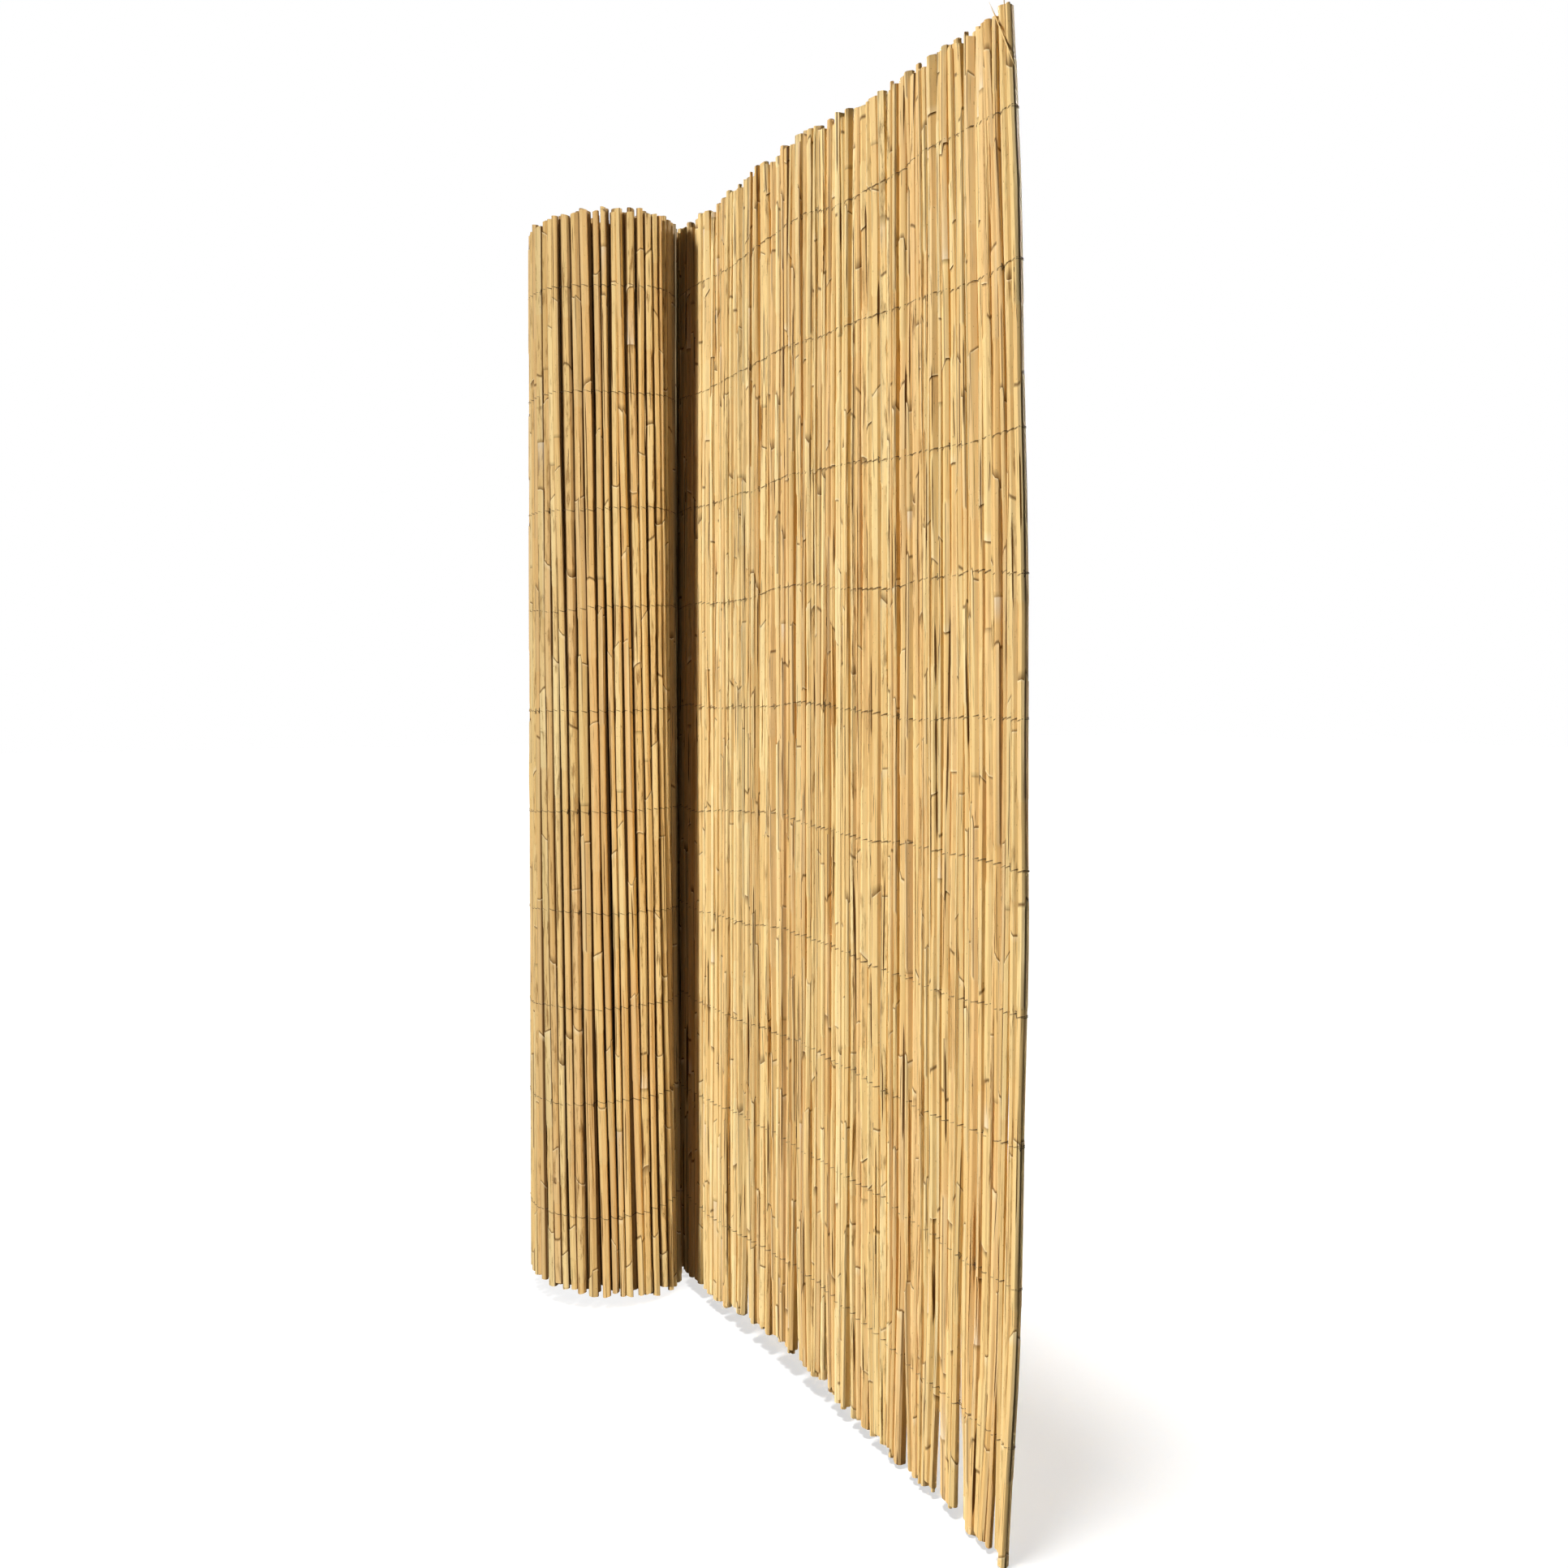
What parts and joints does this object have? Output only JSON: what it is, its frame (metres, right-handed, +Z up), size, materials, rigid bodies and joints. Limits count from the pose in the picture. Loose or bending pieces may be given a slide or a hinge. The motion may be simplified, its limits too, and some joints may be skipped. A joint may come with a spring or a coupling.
{
  "type": "reed screening roll",
  "caption": "Reed screening stitched with thin wire, wound into a roll that stands on its end, with its outer stretch pulled off as a flat screen.",
  "frame": {"origin": "bottom centre of the whole part's box, on the floor that it stands on", "axes": "+Z up along the reeds, +X along the pulled off screen towards its free end, -Y out of its inner face, the side that the roll is on"},
  "size_m": [0.6342, 0.1498, 1],
  "materials": {
    "reed": "peeled dried reed, satin",
    "wire": "thin galvanised wire, dulled"
  },
  "bodies": {
    "root": {"rolled_mat": "reed", "unrolled_mat": "reed", "binding_wire_01": "wire", "binding_wire_02": "wire", "binding_wire_03": "wire", "binding_wire_04": "wire", "binding_wire_05": "wire", "binding_wire_06": "wire", "binding_wire_07": "wire", "binding_wire_08": "wire", "binding_wire_09": "wire", "binding_wire_10": "wire"}
  },
  "joints": []
}
